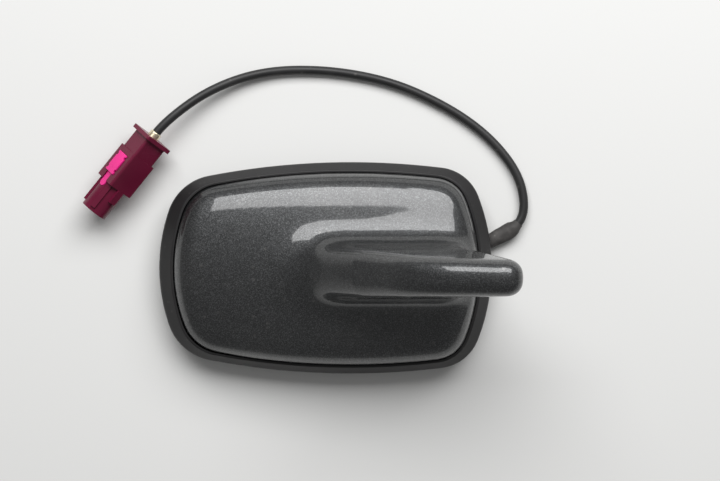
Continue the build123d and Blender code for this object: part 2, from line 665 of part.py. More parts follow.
def plug_shell():
    """Outer contact: a barrel in the housing and a thinner tube at the front."""
    front = PLUG_LENGTH - SOCKET_DEPTH - SHELL_SETBACK
    shoulder = PLUG_LENGTH - CONTACT_BORE_DEPTH
    shell = plug_rod(SHELL_BORE_RADIUS - PLUG_FIT, FERRULE_IN, shoulder)
    shell += plug_rod(SHELL_RADIUS, shoulder, front)
    shell -= plug_rod(SHELL_RADIUS - SHELL_WALL, FERRULE_IN + SHELL_FLOOR, front)
    return PLUG_PLACE * shell


def plug_insulator():
    """Insulator round the centre contact."""
    start = FERRULE_IN + SHELL_FLOOR
    insulator = plug_rod(SHELL_RADIUS - SHELL_WALL - PLUG_FIT, start, start + INSULATOR_LENGTH)
    insulator -= plug_rod(PIN_RADIUS + PLUG_FIT, start + PIN_SEAT, start + INSULATOR_LENGTH)
    return PLUG_PLACE * insulator


def plug_pin():
    """Centre contact."""
    start = FERRULE_IN + SHELL_FLOOR
    pin = plug_rod(PIN_RADIUS, start + PIN_SEAT, start + INSULATOR_LENGTH + PIN_PROUD)
    return PLUG_PLACE * fillet(pin.edges().sort_by(Axis.X)[-1], PIN_RADIUS / 2)


NODES = [
    cover,
    rim_seal,
    base_plate,
    hole_seal,
    cover_screws,
    circuit_board,
    board_screws,
    shield_can,
    antenna_blade,
    blade_bracket,
    cable_tail,
    cable_grommet,
    cable_terminal,
    cable_clamp,
    clamp_screws,
    cable,
    cable_sleeve,
    crimp_ferrule,
    plug_housing,
    plug_lock,
    plug_shell,
    plug_insulator,
    plug_pin,
]

os.makedirs("parts", exist_ok=True)
for node in NODES:
    export_step(node(), f"parts/{node.__name__}.step")
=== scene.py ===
"""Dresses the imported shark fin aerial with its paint, rubber, lead and plug, on a pale studio floor."""

import math

import bmesh
import bpy
from bpy.props import FloatProperty, FloatVectorProperty, IntProperty, PointerProperty
from bpy.types import Operator, Panel, PropertyGroup
from mathutils import Matrix, Vector


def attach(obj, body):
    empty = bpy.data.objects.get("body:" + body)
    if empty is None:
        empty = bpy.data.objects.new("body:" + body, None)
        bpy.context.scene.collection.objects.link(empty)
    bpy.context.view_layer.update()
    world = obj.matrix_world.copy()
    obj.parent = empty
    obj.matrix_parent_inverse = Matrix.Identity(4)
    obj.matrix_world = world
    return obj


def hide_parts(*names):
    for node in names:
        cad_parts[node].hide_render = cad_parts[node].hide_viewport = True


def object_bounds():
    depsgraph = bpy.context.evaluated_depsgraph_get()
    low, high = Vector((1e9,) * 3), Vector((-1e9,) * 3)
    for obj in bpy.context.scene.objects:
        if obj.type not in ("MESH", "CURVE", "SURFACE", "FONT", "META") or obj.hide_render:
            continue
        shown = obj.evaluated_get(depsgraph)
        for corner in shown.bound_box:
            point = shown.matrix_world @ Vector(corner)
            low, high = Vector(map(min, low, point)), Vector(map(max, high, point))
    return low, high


bl_info = {
    "name": "Shark fin aerial",
    "version": (1, 0, 0),
    "blender": (4, 5, 0),
    "location": "3D View > Sidebar > Aerial",
    "description": "Dresses a car's roof aerial with its paint, rubber, lead and plug",
    "category": "Object",
}

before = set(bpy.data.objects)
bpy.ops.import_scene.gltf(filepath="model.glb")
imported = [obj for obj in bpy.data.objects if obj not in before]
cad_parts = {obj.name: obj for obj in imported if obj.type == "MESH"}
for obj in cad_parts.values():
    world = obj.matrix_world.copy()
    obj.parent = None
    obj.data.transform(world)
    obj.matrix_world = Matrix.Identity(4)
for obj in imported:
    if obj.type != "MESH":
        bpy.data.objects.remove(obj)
CAD_LOW, CAD_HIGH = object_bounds()

# The lead's route in metres: out of the spigot, under the rear rim, round and forward to the plug
LEAD_ROUTE = (
    (0.0180, 0.0, -0.0044),
    (0.0295, 0.0, -0.0044),
    (0.0430, 0.0036, -0.0045),
    (0.0525, 0.0086, -0.0047),
    (0.0602, 0.0126, -0.0049),
    (0.0628, 0.0178, -0.0051),
    (0.0617, 0.0265, -0.0053),
    (0.0572, 0.0346, -0.0055),
    (0.0488, 0.0434, -0.0056),
    (0.0366, 0.0514, -0.0056),
    (0.0202, 0.0586, -0.0056),
    (0.0003, 0.0622, -0.0056),
    (-0.0196, 0.0618, -0.0052),
    (-0.0362, 0.0560, -0.0028),
    (-0.04952, 0.04618, -0.0000154),
    (-0.05267, 0.04230, -0.0000154),
)

# How CAD meshes are joined and cut, in metres, and from what angle their edges count as corners, in degrees
MERGE_DISTANCE = 2e-6
CUT_DISTANCE = 1e-7
FLAT_ANGLE = 0.4
CORNER_ANGLE = 32
COVER_CORNER_ANGLE = 35
SLEEVE_CORNER_ANGLE = 50

# How the cover's skin is settled: rounds of smoothing, repeated in grades that end a few skin steps apart
SKIN_ROUNDS = 18
GRADES = 10
DOME_ROUNDS = 3
DOME_RISE = 4
ROOT_ROUNDS = 14
ROOT_RISE = 2
ROOT_REACH = 1.3
SWELL_ROUNDS = 10

# The sleeve's ripples, as shares of its radius with their radians per metre
SLEEVE_RIPPLES = ((0.012, 900.0), (0.010, 2170.0))

# Where the sleeve bulges, how widely, and its taper, as shares of its length; then its end in cable radii
BULGE_PLACE = 0.90
BULGE_SPREAD = 0.12
TAPER_SHARE = 0.07
END_RADII = 1.15

# How rare bright flakes are, the paint's range of roughness, and the dust's tones
FLAKE_RARITY = 3.0
PAINT_ROUGHNESS = (0.38, 0.56)
PAINT_DUST = (0.42, 0.40, 0.38)
PLASTIC_DUST = (0.40, 0.38, 0.36)

# How far a moulding's patches differ from its tone, and how far patches and spots shift the roughness
PATCH_DARKER = 0.2
PATCH_PALER = 0.35
PATCH_LIFT = 0.004
PATCH_SHIFTS = (-0.06, 0.08)
SPOT_SHIFTS = (0.08, -0.05)

# The lock's edges as a share of the housing's, and the dull gold's tone as a share of the bright gold's
LOCK_EDGE = 0.6
DULL_GOLD = 0.85

# The stage, in metres, and the camera's sensor in millimetres
FLOOR_HALF = 4.0
PANEL_SIZE = (1.08, 0.48)
PANEL_PLACE = (0.11, 0.545, 0.62)
PANEL_AIM = (0.11, 0.0, 0.0)
SENSOR_WIDTH = 36.0
NEAR_CLIP = 0.01


def colour(name, description, default):
    """A colour that a user may change."""
    return FloatVectorProperty(
        name=name, description=description, subtype="COLOR", size=3, min=0.0, max=1.0, default=default
    )


def length(name, description, default):
    """A length in metres that a user may change."""
    return FloatProperty(
        name=name, description=description, unit="LENGTH", min=0.0, precision=5, default=default
    )


def share(name, description, default):
    """A share from 0 to 1 that a user may change."""
    return FloatProperty(
        name=name, description=description, subtype="FACTOR", min=0.0, max=1.0, default=default
    )


def position(name, description, default):
    """A position in metres that a user may change."""
    return FloatVectorProperty(name=name, description=description, subtype="TRANSLATION", default=default)


class SkinSettings(PropertyGroup):
    """The cover's even skin."""

    step: length("Step", "Width of the even faces on the cover's outside", 0.0005)
    seam: length("Seam", "Height, behind the rim, at which the even skin meets the cover's foot", 0.0042)
    wall_top: length("Wall top", "Height under which the wall keeps its shape", 0.0070)
    dome_foot: length("Dome foot", "Height from which the dome is settled most", 0.0125)
    fin_foot: length("Fin foot", "Height from which the fin begins to keep its shape", 0.0240)
    fin_root: length("Fin root", "Half width of the fin's root", 0.0110)
    swell_end: length("Swell end", "How far back the swell runs out into the dome", 0.0250)


class PaintSettings(PropertyGroup):
    """The cover's paint."""

    base: colour("Base", "Dark grey under the flakes", (0.036, 0.037, 0.038))
    flake: colour("Flake", "Brightest flakes", (0.122, 0.125, 0.128))
    flake_size: length("Flake size", "Width of one flake with its neighbourhood", 0.00018)
    flake_tilt: share("Flake tilt", "How far the flakes lie out of the surface", 0.10)
    gloss: share("Coat roughness", "Roughness of the clear coat", 0.06)


class RubberSettings(PropertyGroup):
    """The rim, the grommet and the foam."""

    rim: colour("Rim", "Black rubber", (0.013, 0.0125, 0.013))
    foam: colour("Foam", "Foam ring under the base", (0.030, 0.030, 0.031))
    grain: length("Grain", "Width of the rubber's grain", 0.00035)


class LeadSettings(PropertyGroup):
    """The cable and its sleeve."""

    jacket: colour("Jacket", "Cable jacket", (0.0125, 0.0125, 0.013))
    shrink: colour("Sleeve", "Heat-shrink sleeve", (0.036, 0.034, 0.033))
    diameter: length("Cable diameter", "Outside of the cable", 0.0028)
    sleeve_diameter: length("Sleeve diameter", "Outside of the sleeve", 0.0041)
    sleeve_length: length("Sleeve length", "From the spigot along the cable", 0.046)
    sleeve_bulge: share("Sleeve bulge", "How much wider the sleeve is where it leaves the rim", 0.27)


class PlugSettings(PropertyGroup):
    """The plug on the lead's end."""

    housing: colour("Housing", "Wine-red plastic", (0.112, 0.0055, 0.026))
    lock: colour("Lock", "Pink plastic", (0.70, 0.019, 0.225))
    ferrule: colour("Ferrule", "Gold-plated brass", (0.93, 0.85, 0.62))
    edge: length("Edge", "Rounding of the moulded edges", 0.00022)


class StageSettings(PropertyGroup):
    """Floor, light and camera."""

    floor: colour("Floor", "Pale floor", (0.74, 0.74, 0.73))
    sky: share("Sky", "Strength of the even light from all round", 0.22)
    panel: FloatProperty(name="Panel", description="Power of the large panel", subtype="POWER", default=10.6)
    lens: FloatProperty(name="Lens", description="Focal length", unit="CAMERA", default=94.4)
    camera: position("Camera", "Where the camera is", (0.0108, 0.0320, 0.590))
    aim: position("Aim", "What the camera looks at", (0.0108, 0.0086, 0.0))
    facets: IntProperty(name="Facets", description="Facets round the lead", default=32, min=12, max=96)


# Shared shader groups


def new_group(name, inputs, outputs):
    """An empty shader group with named float inputs, and outputs that are floats or colours."""
    tree = bpy.data.node_groups.new(name, "ShaderNodeTree")
    for label, value in inputs:
        tree.interface.new_socket(label, in_out="INPUT", socket_type="NodeSocketFloat").default_value = value
    for label, kind in outputs:
        tree.interface.new_socket(label, in_out="OUTPUT", socket_type=kind)
    return tree, tree.nodes.new("NodeGroupInput"), tree.nodes.new("NodeGroupOutput")


def add(tree, kind, **values):
    """A node with its settings and its inputs' values."""
    node = tree.nodes.new(kind)
    for key, value in values.items():
        if key in node.inputs:
            node.inputs[key].default_value = value
        else:
            setattr(node, key, value)
    return node


def arithmetic(tree, operation, first, second):
    """A math node on two sockets or values."""
    node = add(tree, "ShaderNodeMath", operation=operation)
    for socket, value in zip(node.inputs, (first, second)):
        if isinstance(value, bpy.types.NodeSocket):
            tree.links.new(value, socket)
        else:
            socket.default_value = value
    return node.outputs[0]


def grain_group():
    """Moulded grain: a fine height and a mask of slow patches."""
    if "Moulded grain" in bpy.data.node_groups:
        return bpy.data.node_groups["Moulded grain"]
    tree, inside, outside = new_group(
        "Moulded grain",
        (("Grain width", 0.0004), ("Patch width", 0.02)),
        (("Height", "NodeSocketFloat"), ("Patches", "NodeSocketFloat")),
    )
    place = add(tree, "ShaderNodeTexCoord").outputs["Object"]
    fine = add(tree, "ShaderNodeTexNoise", Detail=3.0, Roughness=0.6)
    slow = add(tree, "ShaderNodeTexNoise", Detail=2.0, Roughness=0.5)
    for noise, width in ((fine, "Grain width"), (slow, "Patch width")):
        tree.links.new(place, noise.inputs["Vector"])
        tree.links.new(arithmetic(tree, "DIVIDE", 1.0, inside.outputs[width]), noise.inputs["Scale"])
    tree.links.new(fine.outputs["Fac"], outside.inputs["Height"])
    tree.links.new(slow.outputs["Fac"], outside.inputs["Patches"])
    return tree


def dust_group():
    """Settled dust: sparse specks and a thin film on what faces up."""
    if "Settled dust" in bpy.data.node_groups:
        return bpy.data.node_groups["Settled dust"]
    tree, inside, outside = new_group(
        "Settled dust",
        (("Amount", 0.2), ("Speck width", 0.0012)),
        (("Dust", "NodeSocketFloat"),),
    )
    place = add(tree, "ShaderNodeTexCoord").outputs["Object"]
    specks = add(tree, "ShaderNodeTexVoronoi", feature="F1")
    film = add(tree, "ShaderNodeTexNoise", Scale=60.0, Detail=4.0)
    for texture in (specks, film):
        tree.links.new(place, texture.inputs["Vector"])
    tree.links.new(arithmetic(tree, "DIVIDE", 1.0, inside.outputs["Speck width"]), specks.inputs["Scale"])
    near = add(tree, "ShaderNodeMapRange", **{"From Min": 0.16, "From Max": 0.06})
    tree.links.new(specks.outputs["Distance"], near.inputs["Value"])
    cloud = add(tree, "ShaderNodeMapRange", **{"From Min": 0.52, "From Max": 0.80, "To Max": 0.35})
    tree.links.new(film.outputs["Fac"], cloud.inputs["Value"])
    facing = add(tree, "ShaderNodeSeparateXYZ")
    tree.links.new(add(tree, "ShaderNodeNewGeometry").outputs["Normal"], facing.inputs[0])
    up = add(tree, "ShaderNodeMapRange", **{"From Min": 0.2, "From Max": 0.9})
    tree.links.new(facing.outputs["Z"], up.inputs["Value"])
    cover = arithmetic(tree, "MAXIMUM", near.outputs[0], cloud.outputs[0])
    cover = arithmetic(tree, "MULTIPLY", cover, up.outputs[0])
    tree.links.new(arithmetic(tree, "MULTIPLY", cover, inside.outputs["Amount"]), outside.inputs["Dust"])
    return tree


def mottle_group():
    """Mottled metal: a value that drifts between two tones, and a fine height."""
    if "Mottled metal" in bpy.data.node_groups:
        return bpy.data.node_groups["Mottled metal"]
    tree, inside, outside = new_group(
        "Mottled metal",
        (("Spot width", 0.003), ("Grain width", 0.0002)),
        (("Spots", "NodeSocketFloat"), ("Height", "NodeSocketFloat")),
    )
    place = add(tree, "ShaderNodeTexCoord").outputs["Object"]
    spots = add(tree, "ShaderNodeTexNoise", Detail=5.0, Distortion=0.4)
    fine = add(tree, "ShaderNodeTexNoise", Detail=2.0)
    for noise, width in ((spots, "Spot width"), (fine, "Grain width")):
        tree.links.new(place, noise.inputs["Vector"])
        tree.links.new(arithmetic(tree, "DIVIDE", 1.0, inside.outputs[width]), noise.inputs["Scale"])
    tree.links.new(spots.outputs["Fac"], outside.inputs["Spots"])
    tree.links.new(fine.outputs["Fac"], outside.inputs["Height"])
    return tree


# Finishes


def new_finish(name, **values):
    """A material with a Principled shader and the values that are even over its surface."""
    material = bpy.data.materials.new(name)
    material.use_nodes = True
    shader = material.node_tree.nodes["Principled BSDF"]
    for key, value in values.items():
        shader.inputs[key.replace("_", " ")].default_value = value
    return material, material.node_tree, shader


def use_group(tree, group, **values):
    """A shared group in a material, with its own values."""
    node = add(tree, "ShaderNodeGroup", node_tree=group)
    for key, value in values.items():
        node.inputs[key.replace("_", " ")].default_value = value
    return node


def blend(tree, mask, low, high):
    """A colour that goes from low to high with a mask. Each is a colour or a socket."""
    node = add(tree, "ShaderNodeMix", data_type="RGBA")
    tree.links.new(mask, node.inputs["Factor"])
    for socket, value in ((node.inputs[6], low), (node.inputs[7], high)):
        if isinstance(value, bpy.types.NodeSocket):
            tree.links.new(value, socket)
        else:
            socket.default_value = (*value[:3], 1.0)
    return node.outputs[2]


def ramp(tree, value, low, high):
    """A value from 0 to 1 mapped to low and high."""
    node = add(tree, "ShaderNodeMapRange", **{"To Min": low, "To Max": high})
    tree.links.new(value, node.inputs["Value"])
    return node.outputs[0]


def relief(tree, shader, height, depth):
    """Bump from a height, of some depth in metres."""
    node = add(tree, "ShaderNodeBump", Strength=1.0, Distance=depth)
    tree.links.new(height, node.inputs["Height"])
    tree.links.new(node.outputs[0], shader.inputs["Normal"])


def flake_paint(settings):
    """Dark metallic paint: tilted flakes of different brightness under a clear coat."""
    material, tree, shader = new_finish(
        "flake_paint", Metallic=0.9, Coat_Weight=0.9, Coat_Roughness=settings.gloss, Coat_IOR=1.5
    )
    place = add(tree, "ShaderNodeTexCoord").outputs["Object"]
    flakes = add(tree, "ShaderNodeTexVoronoi", feature="F1", Scale=1.0 / settings.flake_size)
    tree.links.new(place, flakes.inputs["Vector"])
    parts = add(tree, "ShaderNodeSeparateColor")
    tree.links.new(flakes.outputs["Color"], parts.inputs[0])
    bright = add(tree, "ShaderNodeMath", operation="POWER")
    tree.links.new(parts.outputs[0], bright.inputs[0])
    bright.inputs[1].default_value = FLAKE_RARITY
    tone = blend(tree, bright.outputs[0], settings.base, settings.flake)
    dust = use_group(tree, dust_group(), Amount=0.10, Speck_width=0.0042)
    tree.links.new(blend(tree, dust.outputs["Dust"], tone, PAINT_DUST), shader.inputs["Base Color"])
    tree.links.new(ramp(tree, parts.outputs[1], *PAINT_ROUGHNESS), shader.inputs["Roughness"])
    centred = add(tree, "ShaderNodeVectorMath", operation="SUBTRACT")
    tree.links.new(flakes.outputs["Color"], centred.inputs[0])
    centred.inputs[1].default_value = (0.5, 0.5, 0.5)
    tilt = add(tree, "ShaderNodeVectorMath", operation="SCALE", Scale=settings.flake_tilt)
    tree.links.new(centred.outputs[0], tilt.inputs[0])
    lean = add(tree, "ShaderNodeVectorMath", operation="ADD")
    tree.links.new(tilt.outputs[0], lean.inputs[0])
    tree.links.new(add(tree, "ShaderNodeNewGeometry").outputs["Normal"], lean.inputs[1])
    normal = add(tree, "ShaderNodeVectorMath", operation="NORMALIZE")
    tree.links.new(lean.outputs[0], normal.inputs[0])
    tree.links.new(normal.outputs[0], shader.inputs["Normal"])
    return material


def moulded(name, tone, grain, depth, rough, dust, patch=0.012, contrast=1.0, **values):
    """Moulded rubber or plastic with grain, patches of some width and contrast, and a little dust."""
    material, tree, shader = new_finish(name, **values)
    skin = use_group(tree, grain_group(), Grain_width=grain, Patch_width=patch)
    settled = use_group(tree, dust_group(), Amount=dust, Speck_width=0.0035)
    darker = [channel * (1.0 - PATCH_DARKER * contrast) for channel in tone]
    paler = [min(1.0, channel * (1.0 + PATCH_PALER * contrast) + PATCH_LIFT) for channel in tone]
    body = blend(tree, skin.outputs["Patches"], darker, paler)
    dusty = blend(tree, settled.outputs["Dust"], body, PLASTIC_DUST)
    dulled = ramp(tree, skin.outputs["Patches"], *(rough + shift for shift in PATCH_SHIFTS))
    tree.links.new(dusty, shader.inputs["Base Color"])
    tree.links.new(dulled, shader.inputs["Roughness"])
    relief(tree, shader, skin.outputs["Height"], depth)
    return material


def metal(name, dark, light, rough, spot, depth):
    """Mottled bare metal."""
    material, tree, shader = new_finish(name, Metallic=1.0)
    skin = use_group(tree, mottle_group(), Spot_width=spot, Grain_width=0.00025)
    spotted = blend(tree, skin.outputs["Spots"], dark, light)
    dulled = ramp(tree, skin.outputs["Spots"], *(rough + shift for shift in SPOT_SHIFTS))
    tree.links.new(spotted, shader.inputs["Base Color"])
    tree.links.new(dulled, shader.inputs["Roughness"])
    relief(tree, shader, skin.outputs["Height"], depth)
    return material


def wear(piece, material):
    """Gives a piece one finish all over."""
    piece.data.materials.clear()
    piece.data.materials.append(material)


def cad_piece(node):
    """A CAD node's object, which the frame has to hold."""
    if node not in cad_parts:
        raise RuntimeError(f"the frame has no node {node}")
    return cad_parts[node]


def dress(node, material):
    """Gives a CAD node's object one finish."""
    wear(cad_piece(node), material)


def place_piece(name, mesh, material, nodes):
    """A new piece on the root body that stands for some CAD nodes."""
    piece = bpy.data.objects.new(name, mesh)
    bpy.context.scene.collection.objects.link(piece)
    wear(piece, material)
    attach(piece, "root")
    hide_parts(*nodes)
    return piece


def merged_copy(node):
    """A CAD node's copy with its triangles joined."""
    shape = bmesh.new()
    shape.from_mesh(cad_piece(node).data)
    bmesh.ops.remove_doubles(shape, verts=shape.verts, dist=MERGE_DISTANCE)
    return shape


def smooth_mesh(shape, name, sharp):
    """A finished mesh with smooth shading, apart from edges sharper than some degrees."""
    mesh = bpy.data.meshes.new(name)
    shape.to_mesh(mesh)
    shape.free()
    for layer in [a for a in mesh.attributes if a.name == "custom_normal"]:
        mesh.attributes.remove(layer)
    mesh.shade_smooth()
    mesh.set_sharp_from_angle(angle=math.radians(sharp))
    return mesh


def softened(node, name, material, edge):
    """A CAD node's merged copy with its sharp edges rounded."""
    shape = merged_copy(node)
    bmesh.ops.dissolve_limit(
        shape, angle_limit=math.radians(FLAT_ANGLE), verts=shape.verts, edges=shape.edges, delimit=set()
    )
    piece = place_piece(name, smooth_mesh(shape, name, CORNER_ANGLE), material, [node])
    rounding = piece.modifiers.new("Edges", "BEVEL")
    rounding.width = edge
    rounding.segments = 2
    rounding.limit_method = "ANGLE"
    rounding.angle_limit = math.radians(CORNER_ANGLE)
    rounding.miter_outer = "MITER_ARC"
    rounding.use_clamp_overlap = True
    shading = piece.modifiers.new("Shading", "WEIGHTED_NORMAL")
    shading.keep_sharp = False
    return piece


def lead_line(name, depth, facets):
    """The lead's smooth line as a curve, with a round section of some depth."""
    data = bpy.data.curves.new(name, "CURVE")
    data.dimensions = "3D"
    data.resolution_u = 16
    line = data.splines.new("NURBS")
    line.points.add(len(LEAD_ROUTE) - 1)
    for point, place in zip(line.points, LEAD_ROUTE):
        point.co = (*place, 1.0)
    line.order_u = 3
    line.use_endpoint_u = True
    data.bevel_depth = depth
    data.bevel_resolution = max(1, facets // 4 - 1)
    data.use_fill_caps = depth > 0
    return data


def line_points():
    """Points along the lead's smooth line, with their distance from the spigot."""
    bare = bpy.data.objects.new("bare_line", lead_line("bare_line", depth=0.0, facets=12))
    bpy.context.scene.collection.objects.link(bare)
    bpy.context.view_layer.update()
    mesh = bpy.data.meshes.new_from_object(bare.evaluated_get(bpy.context.evaluated_depsgraph_get()))
    points = [vertex.co.copy() for vertex in mesh.vertices]
    bpy.data.meshes.remove(mesh)
    bpy.data.objects.remove(bare)
    walked = [0.0]
    for before, here in zip(points, points[1:]):
        walked.append(walked[-1] + (here - before).length)
    return points, walked


def ring(shape, centre, along, radius, widen, facets):
    """A ring of edges square to a direction, wider than it is high by some factor."""
    turn = along.to_track_quat("Z", "Y").to_matrix().to_4x4()
    place = Matrix.Translation(centre) @ turn @ Matrix.Diagonal((widen, 1.0, 1.0, 1.0))
    made = bmesh.ops.create_circle(shape, cap_ends=False, segments=facets, radius=radius, matrix=place)
    return list({edge for vertex in made["verts"] for edge in vertex.link_edges})


# Operators, one for each piece or group of like pieces


class AERIAL_OT_cover(Operator):
    """Makes the cover with an even skin that its gloss paint runs over without a ripple"""

    bl_idname = "aerial.cover"
    bl_label = "Cover"

    def execute(self, context):
        settings = context.scene.aerial_skin
        skin = self.even_skin(context, settings)
        shape = merged_copy("cover")
        edge_height = settings.seam - settings.step
        below = (0.0, 0.0, edge_height)
        wall = self.outside(shape)
        parts = {part for face in wall for part in (face, *face.edges, *face.verts)}
        bmesh.ops.bisect_plane(
            shape, geom=list(parts), dist=CUT_DISTANCE, plane_co=below, plane_no=(0.0, 0.0, 1.0)
        )
        upper = [face for face in self.outside(shape) if face.calc_center_median().z > edge_height]
        bmesh.ops.delete(shape, geom=upper, context="FACES")
        shape.from_mesh(skin)
        bpy.data.meshes.remove(skin)
        bmesh.ops.bridge_loops(shape, edges=[edge for edge in shape.edges if edge.is_boundary])
        bmesh.ops.recalc_face_normals(shape, faces=shape.faces)
        mesh = smooth_mesh(shape, "painted_cover", COVER_CORNER_ANGLE)
        paint = flake_paint(context.scene.aerial_paint)
        place_piece("painted_cover", mesh, paint, ["cover"])
        return {"FINISHED"}

    def outside(self, shape):
        """The faces that the fin's top reaches without crossing a sharp edge."""
        start = max(shape.faces, key=lambda face: face.calc_center_median().z)
        found = {start}
        queue = [start]
        while queue:
            for edge in queue.pop().edges:
                if edge.calc_face_angle(math.pi) < math.radians(CORNER_ANGLE):
                    fresh = [face for face in edge.link_faces if face not in found]
                    found.update(fresh)
                    queue.extend(fresh)
        return found

    def settle(self, shape, rounds, points):
        """Smooths some of the skin's points a number of times."""
        for _ in range(rounds):
            bmesh.ops.smooth_vert(
                shape, verts=points, factor=0.5, use_axis_x=True, use_axis_y=True, use_axis_z=True
            )

    def even_skin(self, context, settings):
        """The outside as even small faces, settled most round the fin's root and least on the wall."""
        shape = merged_copy("cover")
        wall = self.outside(shape)
        bmesh.ops.delete(shape, geom=[face for face in shape.faces if face not in wall], context="FACES")
        bmesh.ops.holes_fill(shape, edges=[edge for edge in shape.edges if edge.is_boundary], sides=0)
        mesh = bpy.data.meshes.new("skin")
        shape.to_mesh(mesh)
        shape.free()
        block = bpy.data.objects.new("skin", mesh)
        context.scene.collection.objects.link(block)
        even = block.modifiers.new("Even", "REMESH")
        even.mode = "VOXEL"
        even.voxel_size = settings.step
        context.view_layer.update()
        skin = bpy.data.meshes.new_from_object(block.evaluated_get(context.evaluated_depsgraph_get()))
        bpy.data.objects.remove(block)
        bpy.data.meshes.remove(mesh)
        shape = bmesh.new()
        shape.from_mesh(skin)
        self.settle(shape, SKIN_ROUNDS, shape.verts)
        for grade in range(GRADES):
            top = settings.fin_foot + DOME_RISE * grade * settings.step
            self.settle(shape, DOME_ROUNDS, [v for v in shape.verts if settings.wall_top < v.co.z < top])
        for grade in range(GRADES):
            top = settings.fin_foot + ROOT_RISE * grade * settings.step
            reach = ROOT_REACH * settings.fin_root - grade * settings.step
            root = [v for v in shape.verts if settings.dome_foot < v.co.z < top]
            self.settle(shape, ROOT_ROUNDS, [v for v in root if abs(v.co.y) < reach])
        dome = [v for v in shape.verts if settings.dome_foot < v.co.z < settings.fin_foot]
        for grade in range(GRADES):
            beside = settings.fin_root + grade * settings.step
            behind = settings.swell_end + grade * settings.step
            run_out = [v for v in dome if abs(v.co.y) > beside and v.co.x > behind]
            self.settle(shape, SWELL_ROUNDS, run_out)
        parts = [*shape.verts, *shape.edges, *shape.faces]
        above = (0.0, 0.0, settings.seam)
        bmesh.ops.bisect_plane(
            shape, geom=parts, dist=CUT_DISTANCE, plane_co=above, plane_no=(0.0, 0.0, 1.0), clear_inner=True
        )
        shape.to_mesh(skin)
        shape.free()
        return skin


class AERIAL_OT_rubber(Operator):
    """Finishes the rim, the grommet and the foam ring"""

    bl_idname = "aerial.rubber"
    bl_label = "Rim and seals"

    def execute(self, context):
        settings = context.scene.aerial_rubber
        rim = moulded(
            "rim_rubber",
            settings.rim,
            grain=settings.grain,
            depth=0.000012,
            rough=0.46,
            dust=0.08,
            Specular_IOR_Level=0.3,
        )
        for node in ("rim_seal", "cable_grommet"):
            dress(node, rim)
        foam = moulded("ring_foam", settings.foam, grain=0.0006, depth=0.00022, rough=0.9, dust=0.2)
        dress("hole_seal", foam)
        return {"FINISHED"}


class AERIAL_OT_base(Operator):
    """Finishes the die-cast base and every screw"""

    bl_idname = "aerial.base"
    bl_label = "Base and screws"

    def execute(self, context):
        alloy = metal(
            "cast_alloy", (0.42, 0.42, 0.43), (0.60, 0.60, 0.61), rough=0.5, spot=0.006, depth=0.00003
        )
        dress("base_plate", alloy)
        zinc = metal(
            "zinc_plate", (0.55, 0.56, 0.58), (0.74, 0.73, 0.68), rough=0.3, spot=0.0016, depth=0.000008
        )
        for node in ("cover_screws", "board_screws", "clamp_screws"):
            dress(node, zinc)
        return {"FINISHED"}


class AERIAL_OT_inside(Operator):
    """Finishes what is closed in under the cover"""

    bl_idname = "aerial.inside"
    bl_label = "Board and blade"

    def execute(self, context):
        mask = moulded("solder_mask", (0.02, 0.13, 0.05), grain=0.0008, depth=0.00001, rough=0.35, dust=0.0)
        dress("circuit_board", mask)
        tin = metal(
            "tin_plate", (0.62, 0.63, 0.64), (0.80, 0.80, 0.81), rough=0.3, spot=0.0024, depth=0.000008
        )
        for node in ("shield_can", "cable_clamp", "cable_terminal"):
            dress(node, tin)
        brass = metal(
            "blade_brass", (0.58, 0.42, 0.20), (0.78, 0.61, 0.32), rough=0.32, spot=0.004, depth=0.000008
        )
        dress("antenna_blade", brass)
        bracket = moulded(
            "bracket_plastic", (0.74, 0.72, 0.66), grain=0.0005, depth=0.00001, rough=0.55, dust=0.0
        )
        dress("blade_bracket", bracket)
        return {"FINISHED"}


class AERIAL_OT_lead(Operator):
    """Makes the free cable as one smooth cord, and finishes its fixed stretch"""

    bl_idname = "aerial.lead"
    bl_label = "Cable"

    def execute(self, context):
        settings = context.scene.aerial_lead
        jacket = moulded(
            "cable_jacket",
            settings.jacket,
            grain=0.0003,
            depth=0.000010,
            rough=0.46,
            dust=0.12,
            Specular_IOR_Level=0.4,
        )
        dress("cable_tail", jacket)
        data = lead_line("lead", settings.diameter / 2, context.scene.aerial_stage.facets)
        piece = bpy.data.objects.new("lead", data)
        context.scene.collection.objects.link(piece)
        data.materials.append(jacket)
        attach(piece, "root")
        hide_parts("cable")
        return {"FINISHED"}


